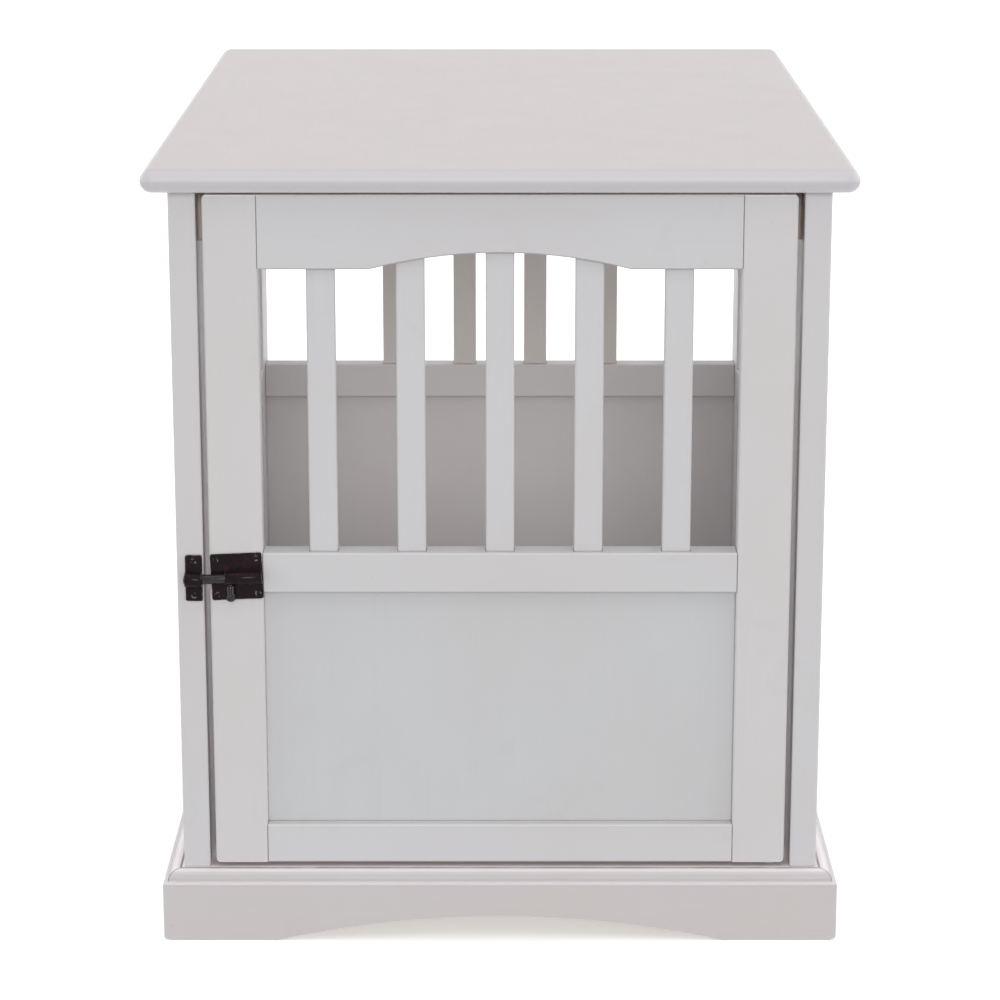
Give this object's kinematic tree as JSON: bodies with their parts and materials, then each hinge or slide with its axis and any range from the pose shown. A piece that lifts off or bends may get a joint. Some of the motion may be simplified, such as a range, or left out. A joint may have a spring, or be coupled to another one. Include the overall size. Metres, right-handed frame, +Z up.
{
  "type": "dog crate end table",
  "caption": "White wooden pet crate that doubles as an end table: slatted sides, framed door with arched rail, barrel bolt, moulded base and a flat top with a half-round edge.",
  "frame": {"origin": "centre of the footprint, on the floor", "axes": "-Y is the door side (front), +X is to the right seen from the front, +Z is up"},
  "size_m": [0.4444, 0.6096, 0.508],
  "materials": {
    "painted_wood": "satin white paint",
    "top_paint": "satin white paint",
    "painted_panel": "satin white paint",
    "bare_pine": "unpainted",
    "zinc_screws": "zinc plated",
    "steel_pins": "plain steel",
    "nylon_washer": "matt",
    "black_metal": "satin black lacquer"
  },
  "bodies": {
    "cabinet": {"top_panel": "top_paint", "floor_panel": "painted_panel", "front_skirt": "painted_wood", "rear_skirt": "painted_wood", "left_skirt": "painted_wood", "right_skirt": "painted_wood", "corner_blocks": "bare_pine", "floor_bearers": "bare_pine", "left_front_stile": "painted_wood", "left_rear_stile": "painted_wood", "left_top_rail": "painted_wood", "left_mid_rail": "painted_wood", "left_bottom_rail": "painted_wood", "left_lower_panel": "painted_panel", "left_slats": "painted_wood", "right_front_stile": "painted_wood", "right_rear_stile": "painted_wood", "right_top_rail": "painted_wood", "right_mid_rail": "painted_wood", "right_bottom_rail": "painted_wood", "right_lower_panel": "painted_panel", "right_slats": "painted_wood", "back_top_rail": "painted_wood", "back_mid_rail": "painted_wood", "back_bottom_rail": "painted_wood", "back_lower_panel": "painted_panel", "back_slats": "painted_wood", "front_header_rail": "painted_wood", "top_cleats": "bare_pine", "cleat_screws": "zinc_screws", "floor_screws": "zinc_screws", "top_pivot_pin": "steel_pins", "bottom_pivot_pin": "steel_pins", "pivot_washer": "nylon_washer", "latch_keeper": "black_metal", "keeper_screws": "black_metal"},
    "door": {"door_latch_stile": "painted_wood", "door_hinge_stile": "painted_wood", "door_top_rail": "painted_wood", "door_mid_rail": "painted_wood", "door_bottom_rail": "painted_wood", "door_lower_panel": "painted_panel", "door_slat_1": "painted_wood", "door_slat_2": "painted_wood", "door_slat_3": "painted_wood", "door_slat_4": "painted_wood", "door_slat_5": "painted_wood", "latch_plate": "black_metal", "latch_plate_screws": "black_metal"},
    "latch_bolt": {"latch_bolt": "black_metal", "bolt_knob": "black_metal"}
  },
  "joints": [
    {"name": "door_swing", "type": "hinge", "parent": "cabinet", "child": "door", "pos_m": [0.17625, -0.2803, 0.049], "axis": [0, 0, 1], "range_deg": [0, 110]},
    {"name": "bolt_slide", "type": "slide", "parent": "door", "child": "latch_bolt", "axis": [0.9991, 0, 0.0419], "range_m": [0, 0.016]}
  ]
}
